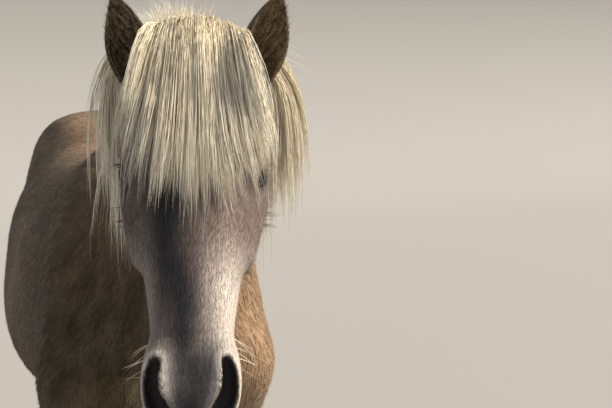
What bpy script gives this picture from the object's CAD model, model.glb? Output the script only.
import math
from itertools import product
from types import SimpleNamespace

import bpy
import numpy as np
from mathutils import Matrix, Vector


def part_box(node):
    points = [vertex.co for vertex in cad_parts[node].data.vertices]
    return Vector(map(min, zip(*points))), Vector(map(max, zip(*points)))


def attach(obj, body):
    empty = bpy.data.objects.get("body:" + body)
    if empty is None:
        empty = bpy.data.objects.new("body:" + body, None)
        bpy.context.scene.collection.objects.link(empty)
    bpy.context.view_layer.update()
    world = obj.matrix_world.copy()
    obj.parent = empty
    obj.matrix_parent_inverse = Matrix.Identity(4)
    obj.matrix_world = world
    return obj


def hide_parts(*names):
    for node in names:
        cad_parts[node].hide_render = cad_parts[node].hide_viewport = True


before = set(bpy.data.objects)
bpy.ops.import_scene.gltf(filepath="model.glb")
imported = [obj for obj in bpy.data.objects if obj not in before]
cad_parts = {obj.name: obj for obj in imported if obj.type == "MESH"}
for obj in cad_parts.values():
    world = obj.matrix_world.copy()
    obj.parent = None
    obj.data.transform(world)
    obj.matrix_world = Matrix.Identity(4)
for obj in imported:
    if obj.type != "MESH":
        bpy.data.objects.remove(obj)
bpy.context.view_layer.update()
rng = np.random.default_rng(11)
print("frame loaded")

# Shaping works in millimetres, with the floor at 0; placed() brings points to the part's frame
headPose = {"poll": (27, -896, 1550), "turn": -13.1, "pitch": 47, "roll": 1.2}
eyeSize = {"radius": 22, "place": (81, -176, -45)}


def headMatrix():
    turn = Matrix.Rotation(math.radians(headPose["turn"]), 3, "Z")
    pitch = Matrix.Rotation(math.radians(headPose["pitch"]), 3, "X")
    roll = Matrix.Rotation(math.radians(headPose["roll"]), 3, "Y")
    return np.array(turn @ pitch @ roll)


headTurnMatrix = headMatrix()
poll = np.array(headPose["poll"], float)


def fromHead(p):
    return np.asarray(p, float) @ headTurnMatrix.T + poll


def toHead(p):
    return (np.asarray(p, float) - poll) @ headTurnMatrix


low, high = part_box("eye_left")
shift = fromHead(eyeSize["place"]) - np.array((low + high) / 2) * 1000


def placed(p):
    return (np.asarray(p) - shift) / 1000


# The horse's form: named masses blended together

farAway = 900  # stands for the distance where no mass is near


def throughStations(stations, steps=4):
    rows = np.array(stations, float)
    last = len(rows) - 1
    fine = []
    for i in range(last):
        a, b, c, d = (rows[min(last, max(0, i + k))] for k in (-1, 0, 1, 2))
        for t in np.arange(steps) / steps:
            bend, twist = 2 * a - 5 * b + 4 * c - d, 3 * b - a - 3 * c + d
            fine.append(0.5 * (2 * b + (c - a) * t + bend * t * t + twist * t**3))
    return np.array(fine + [rows[last]], np.float32)


def outsideOval(across, deep, w, d, square):
    u, v = np.abs(across) / w, deep / d
    reach = np.hypot(u, v) if square == 2 else (u**square + v**square) ** (1 / square)
    slope = np.hypot(u / w, v / d) + 1e-7
    return reach * (reach - 1) / slope


def mass(distance, low, high, blend):
    room = blend + 25
    return {"distance": distance, "low": low - room, "high": high + room, "blend": blend}


def limb(stations, startCap=None, endCap=None, square=2, blend=40):
    # oval sections along a line: x, y, z, half-width, half-depth
    fine = throughStations(stations)
    ends = []
    for cap, end, inner in ((startCap, fine[0], fine[1]), (endCap, fine[-1], fine[-2])):
        if cap:
            way = end[:3] - inner[:3]
            ends.append((end[:3], way / np.linalg.norm(way), end[4] / cap - 1))

    def distance(p):
        q = p
        for end, way, flat in ends:
            q = q + np.maximum(0, (p - end) @ way)[:, None] * flat * way
        best = np.full(len(p), farAway, np.float32)
        for a, b in zip(fine[:-1], fine[1:]):
            along = b[:3] - a[:3]
            t = np.clip((q - a[:3]) @ along / (along @ along), 0, 1)
            x, y, z, w, d = (a[k] + t * (b[k] - a[k]) for k in range(5))
            deep = np.hypot(q[:, 1] - y, q[:, 2] - z)
            best = np.minimum(best, outsideOval(q[:, 0] - x, deep, w, d, square))
        return best

    size = fine[:, 3:].max(1)[:, None]
    return mass(distance, (fine[:, :3] - size).min(0), (fine[:, :3] + size).max(0), blend)


def ball(centre, radii, tip=0, blend=40):
    # an ellipsoid, tipped about the side-to-side axis
    c, s = math.cos(tip), math.sin(tip)

    def distance(p):
        x, y, z = (p[:, k] - centre[k] for k in range(3))
        u, v, w = x / radii[0], (c * y + s * z) / radii[1], (c * z - s * y) / radii[2]
        reach = np.sqrt(u * u + v * v + w * w)
        slope = np.sqrt((u / radii[0]) ** 2 + (v / radii[1]) ** 2 + (w / radii[2]) ** 2) + 1e-7
        return reach * (reach - 1) / slope

    middle, size = np.array(centre, float), max(radii)
    return mass(distance, middle - size, middle + size, blend)


def softMin(a, b, blend):
    h = np.maximum(blend - np.abs(a - b), 0) / blend
    return np.minimum(a, b) - h * h * blend / 4


def blended(p, middle, paired=(), hollows=()):
    f = np.full(len(p), farAway, np.float32)
    oneSide = np.column_stack((np.abs(p[:, 0]), p[:, 1], p[:, 2]))
    for group, at, sign in ((middle, p, 1), (paired, oneSide, 1), (hollows, oneSide, -1)):
        for m in group:
            near = ((at > m["low"]) & (at < m["high"])).all(1)
            if near.any():
                d = m["distance"](at[near])
                f[near] = sign * softMin(sign * f[near], d, m["blend"])
    return f


height = {"withers": 1358, "croup": 1388, "back": 1320, "girth": 716, "belly": 694}
barrelHalfWidth = 298


def trunkSection(y, top, bottom, halfWidth):
    return (0, y, (top + bottom) / 2, halfWidth, (top - bottom) / 2)


def skullSection(along, top, bottom, halfWidth):
    return (0, -along, (top + bottom) / 2, halfWidth, (top - bottom) / 2)


def fetlockTuft(y):
    stations = [(122, y + 22, 232, 22, 16), (122, y + 36, 186, 26, 16), (122, y + 38, 146, 12, 7)]
    return limb(stations, blend=16)


withers, croup, back, girth, bellyLow = height.values()
trunkMiddle = [
    limb(  # barrel
        [
            trunkSection(-590, 1205, 812, 160), trunkSection(-450, 1296, 752, 192),
            trunkSection(-330, withers - 10, girth, 216), trunkSection(-190, 1336, girth - 8, 258),
            trunkSection(-40, back + 1, bellyLow, 287),
            trunkSection(110, back, bellyLow + 4, barrelHalfWidth),
            trunkSection(230, back + 14, 722, 282), trunkSection(340, croup - 18, 772, 248),
            trunkSection(450, croup - 4, 828, 216), trunkSection(550, croup - 30, 872, 190),
            trunkSection(630, croup - 86, 916, 156),
        ],
        startCap=82, endCap=92, square=2.2,
    ),
    limb(  # withers
        [
            (4, -480, 1318, 32, 56), (0, -350, 1296, 28, 56),
            (0, -220, 1286, 30, 54), (0, -80, 1266, 34, 50),
        ],
        blend=70,
    ),
    limb(  # neck
        [
            (18, -500, 1126, 158, 238), (34, -568, 1212, 143, 202), (37, -634, 1306, 115, 160),
            (30, -715, 1402, 90, 130), (28, -790, 1466, 79, 110), (25, -838, 1494, 76, 99),
        ],
        startCap=120, endCap=60, blend=60,
    ),
    limb(  # crest
        [
            (4, -430, 1352, 32, 42), (14, -560, 1414, 33, 44), (24, -690, 1484, 34, 44),
            (26, -800, 1528, 33, 36), (26, -868, 1536, 34, 28),
        ],
        blend=60,
    ),
    limb(  # dock
        [(0, 640, 1262, 44, 40), (0, 708, 1248, 35, 33), (0, 748, 1228, 29, 28)],
        endCap=14, blend=36,
    ),
]
trunkPaired = [
    ball((144, 40, 896), (154, 340, 182), blend=70),  # belly
    ball((82, 452, 1234), (116, 214, 126), tip=-0.2, blend=60),  # gluteal
    ball((164, 318, 1222), (46, 60, 52), blend=70),  # point of hip
    limb(  # shoulder blade
        [
            (52, -335, 1286, 38, 84), (112, -420, 1192, 56, 110),
            (154, -505, 1070, 62, 112), (165, -572, 965, 58, 88),
        ],
        blend=55,
    ),
    limb(  # upper arm
        [(165, -585, 940, 58, 86), (166, -515, 868, 66, 98), (152, -445, 800, 62, 96)],
        blend=50,
    ),
    ball((148, -408, 925), (66, 118, 150), tip=0.35, blend=55),  # triceps
    ball((78, -606, 966), (86, 84, 130), blend=45),  # breast
    limb(  # thigh
        [
            (118, 492, 1160, 104, 180), (142, 528, 1060, 102, 190), (148, 532, 950, 92, 172),
            (146, 520, 855, 78, 142), (141, 536, 770, 64, 108),
        ],
        blend=55,
    ),
    ball((152, 408, 868), (58, 76, 94), tip=0.2, blend=50),  # stifle
    limb(  # hind leg
        [
            (144, 505, 830, 72, 128), (140, 536, 765, 62, 106), (135, 586, 690, 54, 82),
            (130, 638, 615, 46, 62), (127, 672, 558, 42, 53), (125, 688, 505, 39, 49),
            (124, 692, 445, 32, 39), (124, 692, 360, 28, 34), (124, 692, 275, 28, 34),
            (124, 692, 222, 36, 41), (124, 677, 175, 32, 36), (124, 657, 130, 37, 41),
            (124, 641, 92, 48, 52), (124, 628, 50, 52, 57),
        ],
        blend=40,
    ),
    limb(  # point of hock
        [
            (134, 650, 720, 20, 22), (129, 706, 636, 15, 18), (126, 736, 582, 18, 21),
            (125, 726, 520, 19, 21), (124, 712, 450, 15, 17),
        ],
        blend=26,
    ),
    limb(  # foreleg
        [
            (146, -445, 805, 66, 100), (140, -448, 725, 60, 85), (133, -452, 640, 52, 67),
            (128, -456, 560, 44, 54), (124, -458, 485, 38, 45), (122, -462, 432, 43, 47),
            (121, -460, 395, 40, 44), (120, -455, 355, 31, 36), (119, -454, 290, 27, 32),
            (119, -454, 240, 27, 32), (119, -455, 204, 35, 41), (119, -470, 164, 32, 35),
            (119, -487, 124, 37, 40), (119, -500, 90, 48, 52), (119, -512, 50, 52, 57),
        ],
        blend=40,
    ),
    fetlockTuft(692),
    fetlockTuft(-455),
]
headMiddle = [
    limb(  # skull
        [
            skullSection(0, 6, -128, 70), skullSection(50, 13, -138, 84),
            skullSection(110, 17, -140, 93), skullSection(172, 12, -136, 95),
            skullSection(240, 4, -126, 83), skullSection(310, -2, -114, 69),
            skullSection(380, -7, -104, 57), skullSection(440, -13, -98, 51),
            skullSection(490, -26, -100, 46),
        ],
        startCap=40, endCap=34, square=2.5, blend=30,
    ),
    limb(  # jaw
        [
            (0, -70, -150, 52, 64), (0, -150, -170, 58, 72), (0, -240, -160, 50, 60),
            (0, -330, -132, 40, 42), (0, -410, -114, 34, 32), (0, -468, -112, 34, 29),
        ],
        startCap=60, endCap=26, blend=34,
    ),
    limb(  # nasal ridge
        [(0, -190, -12, 40, 16), (0, -300, -16, 32, 14), (0, -420, -26, 26, 13)],
        blend=34,
    ),
    ball((0, -514, -74), (42, 26, 34), tip=-0.3, blend=26),  # upper lip
    ball((0, -498, -116), (33, 28, 19), tip=-0.2, blend=20),  # lower lip
    ball((0, -466, -132), (27, 26, 20), blend=22),  # chin
]
headPaired = [
    ball((60, -144, -146), (34, 108, 100), blend=34),  # cheek
    ball((72, -160, -22), (30, 46, 30), blend=28),  # brow
    ball((56, -84, -18), (38, 66, 42), blend=34),  # temple
    limb(  # face crest
        [(92, -150, -80, 11, 13), (88, -225, -72, 11, 12), (72, -305, -62, 10, 11)],
        blend=26,
    ),
    ball((39, -484, -50), (22, 44, 38), tip=0.25, blend=26),  # nostril wing
    ball((66, -18, -28), (30, 36, 36), blend=30),  # ear mound
    ball((78, -173, -46), (22, 32, 28), blend=14),  # socket
]
nostril = [
    (43, -474, -20, 5, 7), (45, -489, -28, 10, 12), (43, -505, -38, 13, 15),
    (37, -521, -50, 13, 15), (29, -533, -64, 8, 10),
]
mouthLine = [
    (46, -412, -104, 5, 3), (47, -450, -103, 5, 3), (40, -500, -99, 6, 3),
    (22, -534, -97, 6, 3), (0, -542, -97, 6, 3),
]
headHollows = [
    ball((103, -190, -39), (20, 25, 20), blend=8),  # eye opening
    limb(nostril, blend=7),
    limb(mouthLine, blend=5),
    ball((93, -108, -24), (10, 20, 13), blend=28),  # hollow above the eye
]


def horse(p):
    p = np.asarray(p, np.float32)
    trunk = blended(p, trunkMiddle, trunkPaired)
    head = blended(toHead(p).astype(np.float32), headMiddle, headPaired, headHollows)
    return softMin(trunk, head, 30)


def slopeOf(form, p, e=0.6):
    # value and unit slope
    f = form(p)
    step = np.eye(3) * e
    g = np.column_stack([form(p + step[k]) - f for k in range(3)]) / e
    size = np.linalg.norm(g, axis=1, keepdims=True) + 1e-6
    return f, g / size, size[:, 0]


def smoothStep(v, a, b):
    t = np.clip((v - a) / (b - a), 0, 1)
    return t * t * (3 - 2 * t)


def coatDepth(p):
    # how far the skin lies under the coat's outside: 6 mm on the body, less on the legs and face
    h = toHead(p)
    onFace = smoothStep(-h[:, 1], 20, 140) * smoothStep(-p[:, 1], 800, 860)
    onBody = smoothStep(p[:, 2], 420, 760) * (1 - onFace)
    return 3 - 1.6 * onFace + 3 * onBody


def skinForm(p):
    return horse(p) + coatDepth(p).astype(np.float32)


# Skin: the form's surface, finest at the head

skinGrid = {"headStep": 4.2, "bodyStep": 12.6, "headWidth": 116, "headLow": 1150, "headBack": -820}


def spaced(parts):
    # lines at the given steps over each stretch, then enough more to make blocks of four
    lines = [parts[0][0]]
    for start, end, step in parts:
        count = max(1, round((end - start) / step))
        lines += list(start + (end - start) * (np.arange(count) + 1) / count)
    while len(lines) % 4 != 1:
        lines.append(lines[-1] + parts[-1][2])
    return np.array(lines, np.float32)


cellCorners = list(product([slice(None, -1), slice(1, None)], repeat=3))
batch = 400000  # points measured at once


def surfaceOf(form, lines):
    # one vertex in each cell that the surface crosses, one quad over each grid edge that it crosses;
    # blocks of four cells a side are looked at first, and only those near the surface are measured
    coarse = [line[::4] for line in lines]
    grid = np.stack(np.meshgrid(*coarse, indexing="ij"), -1).reshape(-1, 3)
    rough = form(grid).reshape([len(line) for line in coarse])
    a, b, c = (np.diff(line) for line in coarse)
    reach = 0.55 * np.sqrt(a[:, None, None] ** 2 + b[None, :, None] ** 2 + c[None, None, :] ** 2) + 6
    near = np.zeros(reach.shape, bool)
    signs = np.zeros(reach.shape, int)
    for corner in cellCorners:
        near |= np.abs(rough[corner]) < reach
        signs += rough[corner] < 0
    near |= (signs > 0) & (signs < 8)
    shape = [len(line) for line in lines]
    nodes = np.zeros(shape, bool)
    for corner in cellCorners:
        nodes[corner] |= near.repeat(4, 0).repeat(4, 1).repeat(4, 2)
    nearest = [np.minimum((np.arange(n) + 2) // 4, len(line) - 1) for n, line in zip(shape, coarse)]
    value = rough[np.ix_(*nearest)].astype(np.float32)
    where = np.argwhere(nodes)
    points = np.column_stack([line[where[:, k]] for k, line in enumerate(lines)])
    for start in range(0, len(points), batch):
        some = slice(start, start + batch)
        value[tuple(where[some].T)] = form(points[some])
    print(f"  form measured at {len(points)} points")

    inside = value < 0
    count = sum(inside[corner].astype(np.int8) for corner in cellCorners)
    cells = np.argwhere((count > 0) & (count < 8))
    corners = np.array([[c & 1, (c >> 1) & 1, (c >> 2) & 1] for c in range(8)])
    f = np.stack([value[tuple((cells + c).T)] for c in corners], 1)
    total, crossed = np.zeros((len(cells), 3)), np.zeros(len(cells))
    for p in range(8):
        for bit in (1, 2, 4):
            if p & bit:
                continue
            q = p + bit
            cut = (f[:, p] < 0) != (f[:, q] < 0)
            t = np.where(cut, f[:, p] / np.where(cut, f[:, p] - f[:, q], 1), 0)
            total += cut[:, None] * (corners[p] + t[:, None] * (corners[q] - corners[p]))
            crossed += cut
    inCell = total / crossed[:, None]
    verts = []
    for k, line in enumerate(lines):
        first = line[cells[:, k]]
        verts.append(first + inCell[:, k] * (line[cells[:, k] + 1] - first))

    index = np.full([n - 1 for n in shape], -1)
    index[tuple(cells.T)] = np.arange(len(cells))
    quads = []
    for a in range(3):
        b, c = (a + 1) % 3, (a + 2) % 3
        here = [slice(None)] * 3
        ahead = [slice(None)] * 3
        here[a], ahead[a] = slice(None, -1), slice(1, None)
        at = np.argwhere(inside[tuple(here)] != inside[tuple(ahead)])
        within = [(at[:, k] > 0) & (at[:, k] < shape[k] - 1) for k in (b, c)]
        at = at[within[0] & within[1]]
        stepB, stepC = np.eye(3, dtype=int)[b], np.eye(3, dtype=int)[c]
        around = (0 * stepB, stepB, stepB + stepC, stepC)
        ring = np.stack([index[tuple((at - offset).T)] for offset in around], 1)
        facesOut = inside[tuple(at.T)]
        ring[~facesOut] = ring[~facesOut][:, ::-1]
        quads.append(ring)
    return np.column_stack(verts), np.concatenate(quads)


def settled(form, verts, passes=2):
    # moves vertices onto the form's surface
    for _ in range(passes):
        f, slope, size = slopeOf(form, verts)
        verts = verts - slope * np.clip(f / np.maximum(size, 0.4), -4, 4)[:, None]
    return verts


def addObject(name, mesh):
    obj = bpy.data.objects.new(name, mesh)
    bpy.context.scene.collection.objects.link(obj)
    return obj


def meshObject(name, verts, faces):
    mesh = bpy.data.meshes.new(name)
    verts = np.asarray(verts, np.float32)
    faces = np.asarray(faces, np.int32)
    mesh.vertices.add(len(verts))
    mesh.vertices.foreach_set("co", verts.ravel())
    mesh.loops.add(faces.size)
    mesh.loops.foreach_set("vertex_index", faces.ravel())
    mesh.polygons.add(len(faces))
    mesh.polygons.foreach_set("loop_start", np.arange(len(faces), dtype=np.int32) * faces.shape[1])
    mesh.update(calc_edges=True)
    mesh.polygons.foreach_set("use_smooth", np.ones(len(faces), bool))
    return addObject(name, mesh)


def setAttribute(mesh, name, values, kind="FLOAT"):
    field = {"FLOAT": "value", "FLOAT_VECTOR": "vector"}[kind]
    attribute = mesh.attributes.get(name) or mesh.attributes.new(name, kind, "POINT")
    attribute.data.foreach_set(field, np.asarray(values, np.float32).ravel())


def triangleCount(mesh):
    return len(mesh.loops) - 2 * len(mesh.polygons)


g = skinGrid
headHalf, farSide = g["headWidth"], 348
skinVerts, skinQuads = surfaceOf(skinForm, [
    spaced([
        (-farSide, -headHalf, g["bodyStep"]),
        (-headHalf, headHalf, g["headStep"]),
        (headHalf, farSide, g["bodyStep"]),
    ]),
    spaced([(-1290, g["headBack"], g["headStep"]), (g["headBack"], 830, g["bodyStep"])]),
    spaced([(20, g["headLow"], g["bodyStep"]), (g["headLow"], 1640, g["headStep"])]),
])
skinVerts = settled(skinForm, skinVerts)


# Ears and lids, joined to the skin

earShape = {
    "length": 128,
    "width": 74,
    "roots": ((-76, -22, -24), (82, -18, -17)),  # right, left
    "splay": (0.314, 0.36),  # right, left
    "inset": 0.7,  # inside the solid ear
    "sunk": 20,  # of the foot, into the head
    "wrap": (2.5, 1.15),  # half the shell's turn, at the foot and at the tip
    "wall": 3.0,
    "guard": (31, 9),  # radius kept free of other hair, at the foot and at the tip
}


def unit(v):
    v = np.asarray(v, float)
    return v / (np.linalg.norm(v, axis=-1, keepdims=True) + 1e-9)


def earFrame(side):
    left = int(side > 0)
    root = np.array(earShape["roots"][left], float)
    up = unit([earShape["splay"][left] * side, 0.606, 0.731])
    faceOut = np.array([0.42 * side, -0.75, 0.5])
    faceOut = unit(faceOut - up * (faceOut @ up))
    return root, up, faceOut, np.cross(up, faceOut)


def earShell(side, rows=40, sides=26):
    # a leaf-shaped shell whose open side faces forward; the tip is rounded off
    root, up, faceOut, across = earFrame(side)
    sunk, (foot, tip) = earShape["sunk"], earShape["wrap"]
    rings = []
    for r in range(rows + 1):
        t = r / rows
        along = -sunk + (earShape["length"] + sunk) * t
        leaf = math.sin(math.pi * (0.26 + 0.74 * t) ** 1.25) ** 0.75
        half = max(earShape["width"] / 2 * leaf - earShape["inset"], 1.5)
        wall = earShape["wall"] * (1 - 0.4 * t)
        for inner in (0, 1):
            radius = max(0.7, half - inner * wall * 2)
            for k in range(sides + 1):
                turn = (1 - 2 * k / sides if inner else 2 * k / sides - 1) * (foot + (tip - foot) * t)
                ruffle = 0.5 * inner * math.sin(9 * turn + 5 * t)
                sideways = math.sin(turn) * (radius + ruffle) - 10 * t * t * side
                forward = -math.cos(turn) * radius * 0.8 + 8 + 10 * t
                rings.append(root + up * along + across * sideways + faceOut * forward)
    around = 2 * (sides + 1)
    quads = []
    for r in range(rows):
        for k in range(around):
            a, b = r * around + k, r * around + (k + 1) % around
            quads.append((a, a + around, b + around, b))
    for r in (0, rows):
        for k in range(sides):
            a, b, c, d = (v + r * around for v in (k, k + 1, around - 2 - k, around - 1 - k))
            quads.append((a, b, c, d) if r == 0 else (a, d, c, b))
    inside = np.tile(np.repeat([0.0, 1.0], sides + 1), rows + 1)
    return np.array(rings), np.array(quads), inside


def eyeWay(side):
    return unit([side, -0.72, 0.24])


def eyeCentre(side):
    return np.array([eyeSize["place"][0] * side, *eyeSize["place"][1:]], float)


def eyeAxes(side):
    # out of the head, forward along the eye's level line, and up
    out = eyeWay(side)
    front = unit(np.cross([0, 0, 1], out) * side)
    rise = np.cross(out, front) * side
    return out, front * -np.sign(front[1]), rise * np.sign(rise[2])


lidShape = {
    "halfWidth": 18.5,
    "upper": 10.5,  # the opening's height above its level line, and below
    "lower": 8.5,
    "reach": 17,  # from the rim out to the skin
    "outside": 0.62,  # share of the section that lies over the outside
    "swell": 2.6,
    "crease": 1.3,
}


def lidSection(t, upperLid):
    # along the section, from the skin to the wet rim and back: how far off the rim, and how high
    if t < lidShape["outside"]:
        w = t / lidShape["outside"]
        crease = lidShape["crease"] * math.exp(-(((w - 0.56) / 0.09) ** 2)) * (1 if upperLid else 0.4)
        return 1 - w, lidShape["swell"] * math.sin(math.pi * min(1, w * 1.02)) + w - crease
    w = (t - lidShape["outside"]) / (1 - lidShape["outside"])
    return w, 1 - w - 3.2 * math.sin(math.pi * min(1, w + 0.12)) - 3 * w


def lidRing(side, around=56, rows=18):
    # a closed ring round the eye: from under the skin, over the lid, to its wet rim and back beneath
    centre = eyeCentre(side)
    out, front, rise = eyeAxes(side)
    flat, lift, far = [], [], []
    for k in range(around):
        turn = 2 * math.pi * k / around
        c, s = math.cos(turn), math.sin(turn)
        # the opening is an almond
        openHigh = lidShape["upper"] if s > 0 else lidShape["lower"]
        almondHigh = openHigh * s * (1 - 0.35 * c * c) * (1 - 0.16 * abs(c) ** 6)
        for r in range(rows):
            away, high = lidSection(r / rows, s > 0.1)
            reach = away * lidShape["reach"]
            u = lidShape["halfWidth"] * c + reach * c * 0.9
            v = almondHigh + reach * s
            deep = math.sqrt(max(0, (eyeSize["radius"] + 0.6) ** 2 - u * u - v * v))
            flat.append(centre + front * u + rise * v + out * deep)
            lift.append(high)
            far.append(away)
    flat, lift, far = np.array(flat), np.array(lift), np.array(far)
    # far from the opening the ring follows the skin, near it the eyeball
    world = fromHead(flat)
    onSkin = world.copy()
    for _ in range(4):
        f, slope, size = slopeOf(skinForm, onSkin, 1.0)
        onSkin -= slope * np.clip(f / np.maximum(size, 0.5), -6, 6)[:, None]
    _, slope, _ = slopeOf(skinForm, onSkin, 2.0)
    towards = smoothStep(far, 0.25, 1.0)[:, None]
    radial = unit(flat - centre) @ headTurnMatrix.T
    normal = unit(radial * (1 - towards) + slope * towards)
    raised = normal * (lift * (1 - 0.75 * towards[:, 0]))[:, None]
    place = world * (1 - towards) + (onSkin - slope * 0.8) * towards + raised
    quads = []
    for k in range(around):
        for r in range(rows):
            a, b = k * rows + r, k * rows + (r + 1) % rows
            c, d = (a + rows) % (around * rows), (b + rows) % (around * rows)
            quads.append((a, b, d, c) if side < 0 else (a, c, d, b))
    wet = np.tile(np.exp(-(((np.arange(rows) / rows - 0.64) / 0.07) ** 2)), around)
    return place, np.array(quads), wet


def outward(verts, quads):
    # turns the faces of a closed piece so that its volume is positive
    a, b, c, d = (verts[quads[:, k]] for k in range(4))
    volume = (np.cross(a, b) * c).sum() + (np.cross(a, c) * d).sum()
    return quads if volume > 0 else quads[:, ::-1]


# each part: its points, faces, and for each point the ear's side, whether it is in an ear, how wet it is
nothing = np.zeros(len(skinVerts))
parts = [(skinVerts, skinQuads, nothing, nothing, nothing)]
for side in (1, -1):
    verts, quads, inside = earShell(side)
    nothing = np.zeros(len(verts))
    parts.append((fromHead(verts), outward(fromHead(verts), quads), nothing + side, inside, nothing))
    verts, quads, wet = lidRing(side)
    nothing = np.zeros(len(verts))
    parts.append((verts, outward(verts, quads), nothing, nothing, wet))
starts = np.cumsum([0] + [len(part[0]) for part in parts])
skinQuads = np.concatenate([part[1] + start for part, start in zip(parts, starts)])
skinVerts, earSide, earInside, lidWet = (
    np.concatenate([part[k] for part in parts]) for k in (0, 2, 3, 4)
)
skin = meshObject("skin", placed(skinVerts), skinQuads)
skinNormals = np.zeros(3 * len(skinVerts), np.float32)
skin.data.vertex_normals.foreach_get("vector", skinNormals)
skinNormals = skinNormals.reshape(-1, 3)
print(f"skin: {len(skinQuads)} quads with ears and lids")

# How the coat lies, how long and thick it is, and its markings

coatLength = {  # mm; the trunk's and the face's, and what each region adds to them
    "trunk": 16, "onLeg": -6, "onBreast": 5, "onBelly": 5,
    "face": 7.0, "onMuzzle": -3.6, "underJaw": 12,
    "ear": 6.5, "inEar": 9,
}


def bump(value, middle, width):
    return np.exp(-(((value - middle) / width) ** 2))


def swirl(p, scale, seed):
    # a smooth wandering number between about -1 and 1
    wander = np.random.default_rng(seed)
    total = 0
    for _ in range(5):
        way = unit(wander.normal(size=3)) * wander.uniform(0.6, 1.6) * scale
        total = total + np.sin(p @ way + wander.uniform(0, 6.28))
    return total / 3


def columns(*values):
    return np.stack(np.broadcast_arrays(*values), -1)


def regionsOf(p, n, ear, inEar, wet):
    # where each point of the skin is, and how much it belongs to each region, from 0 to 1
    h = toHead(p)
    downFace, forward, high = -h[:, 1], -p[:, 1], p[:, 2]
    onEar = np.abs(ear)
    onHead = smoothStep(downFace, -30, 60) * smoothStep(forward, 790, 850) * (1 - onEar)
    oneSide = columns(np.abs(h[:, 0]), h[:, 1], h[:, 2]).astype(np.float32)
    fromNostril = limb(nostril)["distance"](oneSide)
    nostrilDark = 1 - smoothStep(fromNostril, 0.5, 4.5)
    lips = (1 - smoothStep(np.abs(h[:, 2] + 101), 3, 9)) * smoothStep(downFace, 400, 430) * onHead
    return SimpleNamespace(
        p=p, n=n, h=h, ear=ear, inEar=inEar, onEar=onEar, onHead=onHead, fromNostril=fromNostril,
        downFace=downFace, forward=forward, high=high,
        onLeg=1 - smoothStep(high, 560, 760),
        onTrunk=(1 - onHead) * smoothStep(high, 560, 760),
        muzzle=smoothStep(downFace, 380, 480) * onHead,
        underJaw=smoothStep(-h[:, 2], 120, 200) * onHead * smoothStep(downFace, -20, 60),
        bare=np.maximum.reduce([nostrilDark * onHead, lips, wet]),
    )


def coatLie(at):
    # the way the hair lies: back and down the trunk, down the legs, down the face, out along the ears
    jawSide = smoothStep(-at.h[:, 2], 60, 150) * smoothStep(at.h[:, 1], -380, -260)
    sway = columns(*(swirl(at.p, 0.006, seed) for seed in (1, 2, 3))) * 0.16
    head = columns(at.h[:, 0] * 0.0016, -1 + 0.45 * jawSide, -0.12 - 0.8 * jawSide) @ headTurnMatrix.T
    ears = np.zeros_like(at.p)
    for side in (1, -1):
        root, up, faceOut, across = earFrame(side)
        sideways = ((at.h - root) @ across)[:, None] * across
        way = up + (sideways * 0.012 + faceOut * 0.25) * at.inEar[:, None]
        ears += (way @ headTurnMatrix.T) * (at.ear == side)[:, None]
    way = np.array([0, 0.5, -0.86]) + sway
    for other, share in ((np.array([0, 0.16, -1.0]), at.onLeg), (head, at.onHead), (ears, at.onEar)):
        way = way * (1 - share[:, None]) + other * share[:, None]
    return unit(way - at.n * (way * at.n).sum(1, keepdims=True))


def coatSize(at):
    c = coatLength
    breast = bump(at.p[:, 1], -640, 90) * at.onTrunk
    belly = smoothStep(-at.n[:, 2], 0.3, 0.9) * (1 - at.onHead)
    body = c["trunk"] + c["onLeg"] * at.onLeg + c["onBreast"] * breast + c["onBelly"] * belly
    face = c["face"] + c["onMuzzle"] * at.muzzle + c["underJaw"] * at.underJaw
    size = body * (1 - at.onHead) + face * at.onHead
    return size * (1 - at.onEar) + (c["ear"] + c["inEar"] * at.inEar) * at.onEar


def darkMarks(at):
    # the stripe down the face, rings round the eyes, fetlocks, a patch on the croup, and bare skin
    lower = smoothStep(at.downFace, 290, 420)
    stripe = bump(at.h[:, 0], -32 + 22 * lower, 34 - 9 * lower) * smoothStep(at.downFace, 150, 260)
    between = bump(at.h[:, 0], -3, 34) * smoothStep(at.downFace, 420, 475)
    nearEye = sum(bump(np.linalg.norm(at.h - eyeCentre(side), axis=1), 21, 9) for side in (1, -1))
    fetlocks = 0.55 * (1 - smoothStep(at.high, 120, 520))
    fromPatch = np.hypot(at.p[:, 0] + 40, (at.p[:, 1] - 470) / 1.6)
    croupPatch = 0.8 * bump(fromPatch, 0, 34) * smoothStep(at.n[:, 2], 0.3, 0.7)
    onFace = np.maximum.reduce([stripe, between, 0.9 * nearEye]) * at.onHead
    return np.maximum.reduce([onFace, fetlocks, croupPatch, at.bare, 0.62 * at.onEar])


def tanMarks(at):
    # the back and croup, the left of the chest, and a little under the jaw and at the rump
    topLine = smoothStep(at.n[:, 2] + 0.3 * at.n[:, 0], 0.45, 0.95) * (1 - at.onHead)
    topLine = 0.9 * topLine * smoothStep(at.high, 900, 1150)
    chest = 0.8 * smoothStep(at.forward, 240, 620) * at.onTrunk * smoothStep(at.p[:, 0], 10, 130)
    rump = 0.2 * smoothStep(at.p[:, 1], 420, 700)
    return np.maximum.reduce([topLine, chest, 0.45 * at.underJaw, rump]) + 0.12 * swirl(at.p, 0.012, 7)


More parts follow.
